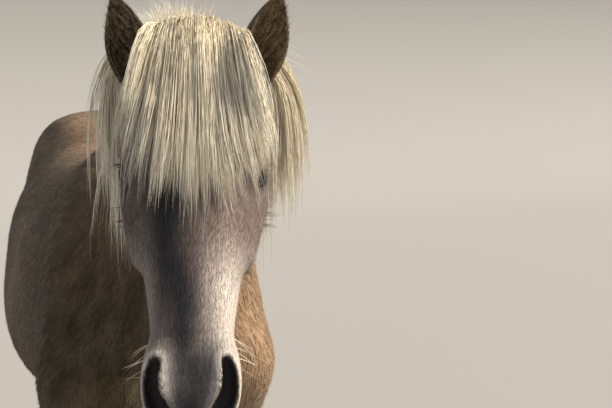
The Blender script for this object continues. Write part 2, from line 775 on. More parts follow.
def paleMarks(at):
    # nostril rims, the sides of the muzzle, more of it on the left, and the brow over the left eye
    x = at.h[:, 0]
    rims = 0.95 * bump(at.fromNostril, 8, 6) * at.onHead * (1 - at.bare)
    leftCheek = 0.35 * smoothStep(x, 0, 20) + 0.45 * smoothStep(x, 20, 52)
    leftCheek = leftCheek * smoothStep(at.downFace, 270, 420) * at.onHead
    rightCheek = 0.55 * smoothStep(-x, 34, 62) * smoothStep(at.downFace, 250, 360) * at.onHead
    overEye = eyeCentre(1) + (4, 6, 24)
    brow = 0.8 * bump(np.linalg.norm(at.h - overEye, axis=1), 0, 17)
    pale = np.maximum.reduce([rims, leftCheek, rightCheek, brow, 0.4 * at.muzzle])
    return np.clip(pale, 0, 1) * (1 - 0.8 * at.bare)


def deepZone(at):
    # the shoulder, throat and low parts, where the coat is darkest
    shoulder = smoothStep(at.forward, 120, 420)
    low = 1 - smoothStep(at.high + 60 * swirl(at.p, 0.01, 12), 560, 1020)
    throat = smoothStep(at.forward, 560, 700) * (1 - smoothStep(at.high, 1100, 1330))
    return np.maximum.reduce([0.85 * shoulder, 0.8 * low, 0.85 * throat]) * at.onTrunk


at = regionsOf(skinVerts, skinNormals, earSide, earInside, lidWet)
onFace = np.clip(at.onHead + at.onEar, 0, 1)
for name, values in {
    "lie": coatLie(at),
    "marks": np.clip(columns(darkMarks(at), tanMarks(at), paleMarks(at)), 0, 1),
    "grain": columns(at.onHead + at.onEar, at.onLeg * (1 - at.onHead), at.bare),
    "zones": np.clip(columns(deepZone(at), at.inEar, at.underJaw), 0, 1),
    "root": placed(skinVerts),
}.items():
    setAttribute(skin.data, name, values, "FLOAT_VECTOR")
for name, values in {
    "size": coatSize(at) / 1000,
    "faceThick": (1 - at.bare) * onFace,
    "bodyThick": (1 - at.bare) * (1 - onFace),
    "shade": np.full(len(skinVerts), 0.5),
    "along": np.zeros(len(skinVerts)),
}.items():
    setAttribute(skin.data, name, values)
print("coat rules set")

# Nodes and materials


def colour(code):
    # sRGB hex to linear
    values = [int(code[k : k + 2], 16) / 255 for k in (1, 3, 5)]
    return tuple(v / 12.92 if v <= 0.04045 else ((v + 0.055) / 1.055) ** 2.4 for v in values) + (1,)


def addNode(tree, kind, inputs=None, **settings):
    # a node with its settings and inputs; an input is a value or another node's output
    node = tree.nodes.new(kind)
    for key, value in settings.items():
        setattr(node, key, value)
    for key, value in (inputs or {}).items():
        if isinstance(value, bpy.types.NodeSocket):
            tree.links.new(value, node.inputs[key])
        else:
            node.inputs[key].default_value = value
    return node


def worked(tree, how, *values):
    return made(tree, "ShaderNodeMath", dict(enumerate(values)), operation=how)


def made(tree, kind, inputs=None, **settings):
    return addNode(tree, kind, inputs, **settings).outputs[0]


def times(tree, first, *others):
    for other in others:
        first = worked(tree, "MULTIPLY", first, other)
    return first


def vectorWorked(tree, how, *values):
    node = addNode(tree, "ShaderNodeVectorMath", dict(enumerate(values)), operation=how)
    return node.outputs["Value" if how in ("LENGTH", "DOT_PRODUCT") else "Vector"]


def scaled(tree, vector, by):
    return made(tree, "ShaderNodeVectorMath", {0: vector, "Scale": by}, operation="SCALE")


def ranged(tree, value, low, high, first=0.0, last=1.0):
    # first at low, last at high, and held outside them
    return made(tree, "ShaderNodeMapRange", {0: value, 1: low, 2: high, 3: first, 4: last})


def mixed(tree, factor, a, b):
    return addNode(tree, "ShaderNodeMix", {0: factor, 6: a, 7: b}, data_type="RGBA").outputs[2]


def mixedNumber(tree, factor, a, b):
    return made(tree, "ShaderNodeMix", {0: factor, 2: a, 3: b})


def vectorOf(tree, name):
    return addNode(tree, "ShaderNodeAttribute", attribute_name=name).outputs["Vector"]


def numberOf(tree, name):
    return addNode(tree, "ShaderNodeAttribute", attribute_name=name).outputs["Fac"]


def splitOf(tree, name):
    return addNode(tree, "ShaderNodeSeparateXYZ", {0: vectorOf(tree, name)}).outputs


def noise(tree, place, scale, detail, distortion=0.0):
    inputs = {"Vector": place, "Scale": scale, "Detail": detail, "Distortion": distortion}
    return addNode(tree, "ShaderNodeTexNoise", inputs).outputs


def stretchedNoise(tree, place, axis, across, along, detail):
    # noise drawn out along an axis: its grains are 1/across wide and 1/along long, in metres
    reach = vectorWorked(tree, "DOT_PRODUCT", place, axis)
    part = scaled(tree, axis, times(tree, reach, across - along))
    drawn = vectorWorked(tree, "SUBTRACT", scaled(tree, place, across), part)
    return noise(tree, drawn, 1.0, detail)["Fac"]


def newMaterial(name, **looks):
    material = bpy.data.materials.new(name)
    material.use_nodes = True
    tree = material.node_tree
    surface = tree.nodes["Principled BSDF"]
    for key, value in looks.items():
        surface.inputs[key.replace("_", " ")].default_value = value
    return material, tree, surface.inputs


def addRelief(tree, inputs, height, strength, depth):
    relief = addNode(tree, "ShaderNodeBump", {"Strength": strength, "Distance": depth, "Height": height})
    tree.links.new(relief.outputs[0], inputs["Normal"])


coatColours = {
    "taupe": "#695c55",  # head
    "greyTaupe": "#6a6053",  # barrel
    "olive": "#5c4f3c",  # streaks on the barrel
    "umber": "#3a301d",  # shoulder, throat, belly and low chest
    "tan": "#8f755a",  # back, croup and chest
    "slate": "#252427",  # stripe down the face, lower legs
    "pale": "#cdc3b8",  # muzzle sides, brow and cheek
    "bare": "#0d0b0c",  # inside nostrils and lips
    "earFluff": "#b39c74",  # curls inside the ears
}
coatGrain = {
    "broad": (30, 3.4, 3),  # streaks to the metre across and along the hair, and their detail
    "fine": (420, 34, 2),
    "patches": 9.0,
    "curls": 190.0,
    "relief": 0.0016,  # m
}


def coatMaterial(name, tufts):
    # taupe horse hair with paler and darker grain; it gives the eye a soft, brushed, living coat
    material, tree, inputs = newMaterial(
        name, Specular_IOR_Level=0.18, Sheen_Weight=0.05, Sheen_Roughness=0.5
    )
    root = vectorOf(tree, "root")
    dark, tan, pale = splitOf(tree, "marks")
    onHead, onLeg, bare = splitOf(tree, "grain")
    deep, inEar, _ = splitOf(tree, "zones")
    patches = noise(tree, root, coatGrain["patches"], 4.0)["Fac"]
    headAxis = tuple(headTurnMatrix @ np.array([0, -1, 0]))
    axes = ((0, 0.5, -0.866), headAxis, (0, 0.16, -0.987))

    def grained(size):
        body, head, leg = (stretchedNoise(tree, root, axis, *size) for axis in axes)
        return mixedNumber(tree, onHead, mixedNumber(tree, onLeg, body, leg), head)

    def painted(base, factor, key):
        return mixed(tree, factor, base, colour(coatColours[key]))

    broad = grained(coatGrain["broad"])
    base = painted(colour(coatColours["greyTaupe"]), ranged(tree, broad, 0.36, 0.66), "olive")
    base = painted(base, onHead, "taupe")
    base = painted(base, times(tree, deep, ranged(tree, broad, 0.34, 0.6, 1.25, 0.6)), "umber")
    ragged = times(tree, worked(tree, "SUBTRACT", patches, 0.5), 0.5)
    for key, mark in (("tan", tan), ("pale", pale), ("slate", dark)):
        factor = worked(tree, "ADD", mark, times(tree, ragged, mark))
        base = painted(base, ranged(tree, factor, 0.0, 1.0), key)
    curls = noise(tree, root, coatGrain["curls"], 3.0, 1.2)["Fac"]
    base = painted(base, times(tree, ranged(tree, curls, 0.47, 0.62), inEar), "earFluff")
    base = painted(base, bare, "bare")
    if tufts:
        own = ranged(tree, numberOf(tree, "shade"), 0.0, 1.0, 0.8, 1.22)
        light = times(tree, own, ranged(tree, numberOf(tree, "along"), 0.0, 1.0, 0.85, 1.12))
    else:
        fine = grained(coatGrain["fine"])
        light = ranged(tree, fine, 0.3, 0.7, 0.72, 1.28)
        addRelief(tree, inputs, worked(tree, "ADD", fine, broad), 0.6, coatGrain["relief"])
    light = times(tree, light, ranged(tree, patches, 0.3, 0.7, 0.86, 1.14))
    tree.links.new(scaled(tree, base, light), inputs["Base Color"])
    tree.links.new(ranged(tree, bare, 0.0, 1.0, 0.62, 0.4), inputs["Roughness"])
    return material


hairColours = {
    "mane": {"root": "#efe0bd", "middle": "#f9edd0", "tip": "#fdf6e3", "dark": "#ab936b"},
    "fringe": {"root": "#4c4338", "middle": "#6a5e4e", "tip": "#887a66", "dark": "#3b342b"},
}


def hairMaterial(name, shades):
    # long flaxen hair, smooth and a little glossy, so that sun and shade run along each strand
    material, tree, inputs = newMaterial(name, Roughness=0.42, Specular_IOR_Level=0.4)
    shade, along = numberOf(tree, "shade"), numberOf(tree, "along")
    root, middle, tip, dark = (colour(code) for code in shades.values())
    base = mixed(tree, ranged(tree, along, 0.0, 0.35), root, middle)
    base = mixed(tree, ranged(tree, along, 0.4, 1.0), base, tip)
    base = mixed(tree, ranged(tree, shade, 0.24, 0.06, 0.0, 0.8), base, dark)  # a few dark strands
    own = ranged(tree, shade, 0.0, 1.0, 0.72, 1.02)
    tree.links.new(scaled(tree, base, own), inputs["Base Color"])
    return material


def hornMaterial():
    # dark grey-brown hoof horn with growth rings and fine upright grain; it reads as hard and dull
    material, tree, inputs = newMaterial("hoof horn", Roughness=0.5)
    place = addNode(tree, "ShaderNodeTexCoord").outputs["Object"]
    wall = (0, -0.34, 0.94)  # the way the hoof's front leans
    rings = stretchedNoise(tree, place, wall, 18, 210, 2)
    upright = stretchedNoise(tree, place, wall, 260, 24, 2)
    base = mixed(tree, ranged(tree, rings, 0.35, 0.65), colour("#2e2824"), colour("#574a3e"))
    base = mixed(tree, ranged(tree, upright, 0.5, 0.75, 0.0, 0.5), base, colour("#75644f"))
    tree.links.new(base, inputs["Base Color"])
    addRelief(tree, inputs, worked(tree, "ADD", rings, times(tree, upright, 0.4)), 0.7, 0.0014)
    return material


def eyeMaterial():
    # a large dark brown eye with a wide level pupil under a wet, mirror-smooth surface
    material, tree, inputs = newMaterial(
        "wet eye", Roughness=0.12, Specular_IOR_Level=0.22, Coat_Weight=0.22, Coat_Roughness=0.03
    )
    level, rise, _ = splitOf(tree, "gaze")

    def fromMiddle(squash):
        spot = made(tree, "ShaderNodeCombineXYZ", {0: level, 1: times(tree, rise, squash)})
        return vectorWorked(tree, "LENGTH", spot)

    fibres = noise(tree, vectorOf(tree, "gaze"), 14.0, 4.0)["Fac"]
    iris = mixed(tree, fibres, colour("#24140b"), colour("#4a2f18"))
    base = mixed(tree, ranged(tree, fromMiddle(1.75), 0.42, 0.5), colour("#050405"), iris)
    base = mixed(tree, ranged(tree, fromMiddle(1.0), 0.68, 0.8), base, colour("#20160f"))
    tree.links.new(base, inputs["Base Color"])
    return material


skinMaterial = coatMaterial("brushed coat over skin", False)
tuftMaterial = coatMaterial("coat tufts", True)
maneMaterial = hairMaterial("flaxen mane hair", hairColours["mane"])
fringeMaterial = hairMaterial("shaggy fringe hair", hairColours["fringe"])
skin.data.materials.append(skinMaterial)
print("materials made")

# Geometry Nodes: strands along guides, and tufts over the skin


def newTree(name, inputs):
    tree = bpy.data.node_groups.new(name, "GeometryNodeTree")
    for way in ("INPUT", "OUTPUT"):
        tree.interface.new_socket("Geometry", in_out=way, socket_type="NodeSocketGeometry")
    for label, (kind, value) in inputs.items():
        socket = tree.interface.new_socket(label, in_out="INPUT", socket_type="NodeSocket" + kind)
        if value is not None:
            socket.default_value = value
    return tree, addNode(tree, "NodeGroupInput").outputs, addNode(tree, "NodeGroupOutput")


def stored(tree, geometry, name, value, kind="FLOAT"):
    inputs = {"Geometry": geometry, "Name": name, "Value": value}
    return made(tree, "GeometryNodeStoreNamedAttribute", inputs, data_type=kind)


def chance(tree, low, high, seed, **more):
    # a random number for each element, or a random vector where low is one
    first, kind = (0, "FLOAT_VECTOR") if isinstance(low, tuple) else (2, "FLOAT")
    inputs = {first: low, first + 1: high, "Seed": seed, **more}
    return addNode(tree, "FunctionNodeRandomValue", inputs, data_type=kind).outputs[first // 2]


def finished(tree, mesh, material, result):
    solid = made(tree, "GeometryNodeRealizeInstances", {0: mesh})
    done = made(tree, "GeometryNodeSetMaterial", {"Geometry": solid, "Material": material})
    tree.links.new(done, result.inputs[0])
    return tree


def strandTree():
    # copies of each guide, spread apart, waved, cut to their own length and given a tapering section
    tree, given, result = newTree("strands", {
        "Copies": ("Int", 10),
        "Root spread": ("Float", 0.004),
        "Middle spread": ("Float", 0.006),
        "Tip spread": ("Float", 0.003),
        "Wave": ("Float", 0.004),
        "Width": ("Float", 0.001),
        "Shortest": ("Float", 0.7),
        "Points": ("Int", 9),
        "Seed": ("Int", 1),
        "Hair": ("Material", None),
    })
    curve = made(tree, "GeometryNodeMeshToCurve", {0: given["Geometry"]})
    doubled = {"Geometry": curve, "Amount": given["Copies"]}
    copies = made(tree, "GeometryNodeDuplicateElements", doubled, domain="SPLINE")
    index = made(tree, "GeometryNodeInputIndex")

    def perStrand(low, high, seedAdd):
        value = chance(tree, low, high, worked(tree, "ADD", given["Seed"], seedAdd), ID=index)
        kind = "FLOAT_VECTOR" if isinstance(low, tuple) else "FLOAT"
        return made(tree, "GeometryNodeFieldOnDomain", {0: value}, data_type=kind, domain="CURVE")

    away = perStrand((-1, -1, -1), (1, 1, 1), 1)
    t = addNode(tree, "GeometryNodeSplineParameter").outputs["Factor"]
    left = worked(tree, "SUBTRACT", 1.0, t)
    reach = worked(
        tree, "ADD",
        worked(
            tree, "ADD",
            times(tree, left, left, given["Root spread"]),
            times(tree, t, left, 2.0, given["Middle spread"]),
        ),
        times(tree, t, t, given["Tip spread"]),
    )
    ahead = made(tree, "ShaderNodeCombineXYZ", {0: times(tree, t, 2.2)})
    walk = vectorWorked(tree, "ADD", scaled(tree, away, 37.0), ahead)
    centred = vectorWorked(tree, "SUBTRACT", noise(tree, walk, 1.0, 1.0)["Color"], (0.5, 0.5, 0.5))
    wave = scaled(tree, centred, times(tree, t, 3.0, given["Wave"]))
    offset = vectorWorked(tree, "ADD", scaled(tree, away, reach), wave)
    moved = made(tree, "GeometryNodeSetPosition", {"Geometry": copies, "Offset": offset})
    ends = {"Curve": moved, "End": perStrand(given["Shortest"], 1.0, 2)}
    cut = made(tree, "GeometryNodeTrimCurve", ends, mode="FACTOR")
    even = made(tree, "GeometryNodeResampleCurve", {"Curve": cut, "Count": given["Points"]})
    shaded = stored(tree, even, "shade", perStrand(0.0, 1.0, 3))
    along = addNode(tree, "GeometryNodeSplineParameter").outputs["Factor"]
    marked = stored(tree, shaded, "along", along)
    taper = worked(tree, "SUBTRACT", 1.06, worked(tree, "POWER", along, 3.0))
    size = times(tree, taper, given["Width"], 0.5, perStrand(0.7, 1.3, 4))
    section = made(tree, "GeometryNodeCurvePrimitiveCircle", {"Resolution": 3, "Radius": 1.0})
    swept = {"Curve": marked, "Profile Curve": section, "Scale": size, "Fill Caps": True}
    strand = made(tree, "GeometryNodeCurveToMesh", swept)
    return finished(tree, strand, given["Hair"], result)


def tuftTree():
    # one blade at each scattered point, laid along the coat's way and sized by the coat's length there
    tree, given, result = newTree("tufts", {
        "Per square metre": ("Float", 20000.0),
        "Where": ("String", "bodyThick"),
        "Width": ("Float", 0.002),
        "Lift": ("Float", 0.3),
        "Stray": ("Float", 0.2),
        "Seed": ("Int", 1),
        "Blade": ("Object", None),
        "Hair": ("Material", None),
    })

    def named(name, kind="FLOAT"):
        return made(tree, "GeometryNodeInputNamedAttribute", {"Name": name}, data_type=kind)

    dense = times(tree, named(given["Where"]), given["Per square metre"])
    scattered = {"Mesh": given["Geometry"], "Density": dense, "Seed": given["Seed"]}
    points = addNode(tree, "GeometryNodeDistributePointsOnFaces", scattered).outputs
    spot = made(tree, "GeometryNodeInputPosition")
    rooted = stored(tree, points[0], "root", spot, "FLOAT_VECTOR")
    shaded = stored(tree, rooted, "shade", chance(tree, 0.0, 1.0, 5))
    ready = stored(tree, shaded, "skinNormal", points["Normal"], "FLOAT_VECTOR")
    out = named("skinNormal", "FLOAT_VECTOR")
    way = vectorWorked(tree, "ADD", named("lie", "FLOAT_VECTOR"), scaled(tree, out, given["Lift"]))
    strayed = scaled(tree, chance(tree, (-1, -1, -1), (1, 1, 1), 6), given["Stray"])
    way = vectorWorked(tree, "ADD", way, strayed)
    axes = {"Primary Axis": way, "Secondary Axis": out}
    turn = made(tree, "FunctionNodeAxesToRotation", axes, primary_axis="Z", secondary_axis="Y")
    blade = addNode(tree, "GeometryNodeObjectInfo", {"Object": given["Blade"]}).outputs["Geometry"]
    reach = times(tree, named("size"), chance(tree, 0.7, 1.25, 7))
    girth = times(tree, given["Width"], chance(tree, 0.7, 1.3, 8))
    scale = made(tree, "ShaderNodeCombineXYZ", {0: girth, 1: reach, 2: reach})
    placing = {"Points": ready, "Instance": blade, "Rotation": turn, "Scale": scale}
    blades = made(tree, "GeometryNodeInstanceOnPoints", placing)
    return finished(tree, blades, given["Hair"], result)


def grownFrom(base, tree, name, values):
    # runs a tree over an object and keeps the result as a plain mesh of its own
    modifier = base.modifiers.new(name, "NODES")
    modifier.node_group = tree
    for item in tree.interface.items_tree:
        if item.item_type == "SOCKET" and item.in_out == "INPUT" and item.name in values:
            modifier[item.identifier] = values[item.name]
    depsgraph = bpy.context.evaluated_depsgraph_get()
    mesh = bpy.data.meshes.new_from_object(base.evaluated_get(depsgraph))
    base.modifiers.remove(modifier)
    mesh.name = name
    if not mesh.materials:
        mesh.materials.append(values["Hair"])
    return addObject(name, mesh)


def turnAbout(across, up):
    return np.arctan2(across, up) / 6.2832 + 0.5


def unwrapped(p):
    # an unwrap by the horse's own shape: trunk, four legs and head, each rolled out round its line
    h = toHead(p)
    trunkLine = 1040 + 0.55 * np.maximum(0, -420 - p[:, 1])
    u = 0.01 + 0.6 * np.clip((p[:, 1] + 1000) / 1900, 0, 1)
    v = 0.01 + 0.97 * turnAbout(p[:, 0], p[:, 2] - trunkLine)
    onLeg, hind = p[:, 2] < 700, p[:, 1] > 0
    turnLeg = turnAbout(np.abs(p[:, 0]) - 122, p[:, 1] - np.where(hind, 680, -455))
    strip = 2.0 * hind + (p[:, 0] > 0)
    u = np.where(onLeg, 0.64 + 0.35 * np.clip(p[:, 2] / 700, 0, 1), u)
    v = np.where(onLeg, 0.47 + 0.13 * strip + 0.115 * turnLeg, v)
    onHead = (h[:, 1] < 150) & (p[:, 1] < -830) & (p[:, 2] > 1000)
    u = np.where(onHead, 0.64 + 0.35 * np.clip((160 - h[:, 1]) / 760, 0, 1), u)
    v = np.where(onHead, 0.01 + 0.44 * turnAbout(h[:, 0], h[:, 2] + 60), v)
    return columns(u, v)


def addBakeMap(mesh, roots, within, patch=0.003):
    # each tuft or strand is a small patch at its root's place on the unwrap
    uv = unwrapped(roots * 1000 + shift) + within * patch
    corner = np.zeros(len(mesh.loops), np.int32)
    mesh.loops.foreach_get("vertex_index", corner)
    layer = mesh.uv_layers.new(name="OFBake")
    layer.data.foreach_set("uv", np.clip(uv[corner], 0, 1).astype(np.float32).ravel())


hair = []
strands = strandTree()
share = 1.0


def strandHair(name, guides, values, clear):
    # guides: one row of points per guide; strands are kept clear of the skin, with their roots in it
    count, steps = guides.shape[:2]
    base = bpy.data.meshes.new(name + " guides")
    first = np.arange(count)[:, None] * steps + np.arange(steps - 1)
    base.from_pydata(placed(guides.reshape(-1, 3)), columns(first, first + 1).reshape(-1, 2), [])
    holder = addObject(name + " guides", base)
    obj = grownFrom(holder, strands, name, values)
    bpy.data.objects.remove(holder)
    mesh = obj.data
    points = values["Points"]
    verts = np.zeros(3 * len(mesh.vertices), np.float32)
    mesh.vertices.foreach_get("co", verts)
    rings = verts.reshape(-1, points, 3, 3)
    middles = rings.mean(2).reshape(-1, 3) * 1000 + shift
    along = np.tile(np.arange(points) / (points - 1), len(rings))
    for _ in range(2):
        f, slope, _ = slopeOf(hairForm, middles, 1.0)
        room = clear * smoothStep(along, 0.02, 0.12) - rootDepth * (1 - smoothStep(along, 0.0, 0.1))
        middles = middles + slope * np.maximum(0, room - f)[:, None]
    rings = rings + (placed(middles).reshape(-1, points, 3) - rings.mean(2))[:, :, None]
    mesh.vertices.foreach_set("co", rings.astype(np.float32).ravel())
    roots = np.repeat(rings[:, 0].mean(1), points * 3, 0)
    setAttribute(mesh, "root", roots, "FLOAT_VECTOR")
    addBakeMap(mesh, roots, columns(np.tile(np.arange(3) / 3, len(rings) * points), np.repeat(along, 3)))
    mesh.polygons.foreach_set("use_smooth", np.ones(len(mesh.polygons), bool))
    mesh.update()
    return obj


rootDepth = 6  # mm under the coat's outside
usualStrand = {
    "Root spread": 0.005, "Middle spread": 0.007, "Tip spread": 0.004,
    "Wave": 0.006, "Width": 0.0011, "Shortest": 0.72, "Points": 9,
}


def addHair(name, guides, copies, look, material, clear=1.5):
    own = {"Copies": max(1, round(copies * share)), "Seed": len(hair) + 3, "Hair": material}
    obj = strandHair(name, guides, {**usualStrand, **look, **own}, clear)
    hair.append(obj)
    print(f"{name}: {triangleCount(obj.data)} triangles")


# Guides: hair that leaves its root one way, then hangs, sliding over the skin


def earGuard(p):
    # how far points are outside a rounded cone round each ear
    h = toHead(p)
    foot, tip = earShape["guard"]
    best = np.full(len(p), float(farAway))
    for side in (1, -1):
        root, up, faceOut, _ = earFrame(side)
        t = np.clip((h - root) @ up / earShape["length"], 0, 1)
        away = np.linalg.norm(h - root - up * (t * earShape["length"])[:, None] - faceOut * 8, axis=1)
        best = np.minimum(best, away - foot + (foot - tip) * t**2)
    return best


def hairForm(p):
    return np.minimum(horse(p), earGuard(p))


def marched(roots, ways, lengths, clearance, bend=70, steps=20):
    # bend: the length over which a hair gives in to its weight
    p, d = np.array(roots, float), unit(ways)
    rows = [p]
    step = np.reshape(lengths / (steps - 1), (-1, 1))
    pull = 1 - np.exp(-step / np.reshape(bend, (-1, 1)))
    for k in range(1, steps):
        d = unit(d * (1 - pull) + np.array([0, 0, -1.0]) * pull)
        q = p + d * step
        f, slope, _ = slopeOf(hairForm, q, 1.0)
        under = np.maximum(0, clearance * min(1, k / 3) - f)
        q = q + slope * under[:, None]
        d = np.where(under[:, None] > 0, unit(q - p), d)
        p = q
        rows.append(p)
    return np.stack(rows, 1)


def settledHair(paths, clearance):
    # lifts whatever has sunk under the coat or into an ear back out to its own clearance
    count, steps = paths.shape[:2]
    flat = paths.reshape(-1, 3)
    room = (clearance[:, None] * np.minimum(1, np.arange(steps) / 3)).ravel()
    for _ in range(3):
        f, slope, _ = slopeOf(hairForm, flat, 1.0)
        flat = flat + slope * np.maximum(0, room - f)[:, None]
    return flat.reshape(count, steps, 3)


def rooted(spots, depth):
    # the same spots, moved to a depth under the coat's outside
    p = np.array(spots, float)
    for _ in range(6):
        f, slope, size = slopeOf(horse, p, 1.0)
        p = p - slope * np.clip((f + depth) / np.maximum(size, 0.5), -25, 25)[:, None]
    return p


def rootedOnHead(depth, *spots):
    return rooted(fromHead(columns(*spots)), depth)


def headWays(*ways):
    return columns(*ways) @ headTurnMatrix.T

fineStrand = {
    "Width": 0.0012, "Points": 8,
    "Root spread": 0.004, "Middle spread": 0.006, "Tip spread": 0.003, "Wave": 0.004,
}

# Forelock

forelock = {
    "outer": (210, 11),  # guides, and copies of each
    "under": (190, 10),
    "halfWidth": 52,  # of the roots, between the ears
    "length": 252,
    "rearMore": 118,  # what the guides from furthest back have to reach over
    "shorterSides": (92, 62),  # right, left
    "ragged": 13,
    "top": 1588,  # height of the cap at its front
    "fan": (16, 42),  # how far the outermost guides move out: at the root, and further down
}


def forelockGuides(count):
    # from the poll between the ears, in an even cap over the forehead to about eye level
    u = np.linspace(-1, 1, count) + rng.normal(0, 0.03, count)
    rear = rng.uniform(0, 1, count)
    roots = rootedOnHead(4, (forelock["halfWidth"] - 4 * rear) * u + 3, -34 + 88 * rear, 12.0)
    ways = headWays(0.3 * u + rng.normal(0, 0.05, count), -0.1 + 0.38 * rear, 0.85)
    shorter = np.where(u < 0, *forelock["shorterSides"]) * bump(np.abs(u), 0.9, 0.36)
    edge = forelock["length"] - shorter + 12 * swirl(columns(u * 260, u, u), 0.1, 21)
    lengths = edge + forelock["rearMore"] * rear + rng.normal(0, forelock["ragged"], count)
    lengths = lengths + 60 * rng.uniform(0, 1, count) ** 6
    clearance = 4 + 17 * rear + rng.uniform(0, 5, count)
    paths = marched(roots, ways, lengths, clearance, bend=46 + 27 * rear)
    # the top is even and rounded
    s = np.linspace(0, 1, paths.shape[1])
    wanted = forelock["top"] + 24 * rear - 20 * u**2
    lift = np.clip(wanted - paths[:, :, 2].max(1), -40, 40)[:, None]
    paths[:, :, 2] += lift * smoothStep(s, 0.0, 0.12) * (1 - smoothStep(s, 0.25, 0.6))
    # seen from the face it opens like a fan, a little unevenly
    local = toHead(paths)
    near, far = (u[:, None] * width for width in forelock["fan"])
    drift = rng.normal(0, 5, count)[:, None] * smoothStep(s, 0.2, 1.0)
    fan = near * smoothStep(s, 0.0, 0.2) + far * smoothStep(s, 0.12, 1.0)
    local[:, :, 0] = local[:, :1, 0] + fan + drift
    return settledHair(fromHead(local), clearance)


for name, part in (("forelock", "outer"), ("forelock_under", "under")):
    guides, copies = forelock[part]
    addHair(name, forelockGuides(guides), copies, fineStrand, maneMaterial)

# Hair that hangs free beside the cheeks, from behind the ears, and a few stray hairs

sideFalls = {
    "forelock_left_fall": {"side": 1, "guides": 80, "copies": 16, "length": 330, "nearest": 3},
    "forelock_right_fall": {"side": -1, "guides": 34, "copies": 8, "length": 320, "nearest": 18},
}
strays = {"guides": 9, "length": 170}


def besideFace(paths, side):
    # leaves out guides that would loop up over an ear or fall across the forehead
    beside = (side * toHead(paths)[:, 6:, 0]).min(1) > 34
    level = paths[:, :, 2].max(1) < paths[:, 0, 2] + 26
    return paths[beside & level]


def sideFallGuides(fall):
    side, count = fall["side"], fall["guides"]
    u = rng.uniform(0, 1, count)
    roots = rootedOnHead(4, side * (34 + 36 * u), 24 + 26 * rng.uniform(0, 1, count), 0.0)
    ways = headWays(
        side * (0.9 + rng.normal(0, 0.1, count)),
        -0.1 + 0.14 * rng.normal(0, 1, count),
        0.3 + 0.1 * rng.normal(0, 1, count),
    )
    lengths = fall["length"] * rng.uniform(0.75, 1.05, count)
    clearance = fall["nearest"] + rng.uniform(0, 14, count)
    bend = 26 + 40 * rng.uniform(0, 1, count)
    return besideFace(marched(roots, ways, lengths, clearance, bend), side)


def strayGuides(count):
    # single long hairs that stand away beyond the left ear
    u = rng.uniform(0, 1, count)
    roots = rootedOnHead(4, 66 + 10 * u, 52 + 14 * rng.uniform(0, 1, count), -20 * u)
    ways = headWays(1, 0.3 + 0.1 * rng.normal(0, 1, count), 0.25 + 0.1 * rng.normal(0, 1, count))
    lengths = strays["length"] * rng.uniform(0.8, 1.1, count)
    return marched(roots, ways, lengths, np.full(count, 8.0), bend=130)


for name, fall in sideFalls.items():
    addHair(name, sideFallGuides(fall), fall["copies"], {**fineStrand, "Wave": 0.008}, maneMaterial)
strayLook = {**fineStrand, "Width": 0.0005, "Wave": 0.02, "Points": 10}
addHair("stray_hair", strayGuides(strays["guides"]), 1, strayLook, maneMaterial)

# Mane, parted along the crest; most of it hangs on the left

crestLine = (  # along the top of the neck, from between the ears to the withers
    (26, -872, 1556), (26, -800, 1562), (24, -690, 1528),
    (14, -560, 1460), (4, -440, 1398), (0, -340, 1352),
)
manes = {
    "mane_left": {"side": 1, "guides": 180, "copies": 15, "from": 0.0, "to": 1.0, "fullness": 26},
    "mane_right": {"side": -1, "guides": 60, "copies": 8, "from": 0.06, "to": 0.42, "fullness": 30},
}
maneLength = 400
maneTop = {"guides": 70, "copies": 12, "to": 0.22, "length": 60}
maneStrand = {"Width": 0.0011, "Wave": 0.012, "Points": 9, "Middle spread": 0.009, "Tip spread": 0.006}
standingStrand = {
    "Points": 5, "Width": 0.0006, "Root spread": 0.004, "Middle spread": 0.006, "Tip spread": 0.01,
}


def crestSpot(t):
    line = np.array(crestLine, float)
    s = np.clip(t, 0, 1) * (len(line) - 1)
    i = np.minimum(s.astype(int), len(line) - 2)
    w = (s - i)[:, None]
    return line[i] * (1 - w) + line[i + 1] * w


def maneGuides(mane):
    side, count, start = mane["side"], mane["guides"], mane["from"]
    t = start + (mane["to"] - start) * (np.arange(count) + rng.uniform(0, 1, count)) / count
    spots = crestSpot(t)
    spots[:, 0] += side * rng.uniform(-4, 18, count)
    roots = rooted(spots, 5)
    ways = columns(
        side * rng.uniform(0.5, 0.95, count),
        -0.1 + rng.normal(0, 0.1, count),
        rng.uniform(0.2, 0.6, count),
    )
    lengths = maneLength * (1 - 0.25 * t - 0.3 * t**4) * rng.uniform(0.6, 1.15, count)
    paths = marched(roots, ways, lengths, rng.uniform(2, mane["fullness"], count), bend=30)
    local = toHead(paths)
    overFace = (local[:, :, 1] < -60) & (np.abs(local[:, :, 0]) < 56) & (local[:, :, 2] > -40)
    return paths[~overFace.any(1)]


def standingGuides(count):
    # short hair that stands up along the crest, more of it on the right
    spots = crestSpot(rng.uniform(0, maneTop["to"], count))
    spots[:, 0] += rng.normal(-14, 16, count)
    roots = rooted(spots, 5)
    ways = columns(rng.normal(0, 0.3, count), rng.normal(-0.05, 0.25, count), 1.0)
    lengths = maneTop["length"] * rng.uniform(0.5, 1.1, count)
    return marched(roots, ways, lengths, np.full(count, 1.0), bend=190)


for name, mane in manes.items():
    addHair(name, maneGuides(mane), mane["copies"], maneStrand, maneMaterial)
standing = standingGuides(maneTop["guides"])
addHair("mane_top", standing, maneTop["copies"], standingStrand, maneMaterial, clear=0)

# Tail

tail = {
    "guides": 170,
    "copies": 16,
    "length": 960,
    "fullness": 70,  # how far the outer hairs swell out at the middle
    "lowest": 236,  # height of its end over the floor, give or take "ragged"
    "ragged": 30,
}
tailStrand = {
    "Width": 0.0019, "Points": 11, "Wave": 0.03,
    "Root spread": 0.006, "Middle spread": 0.012, "Tip spread": 0.01,
}


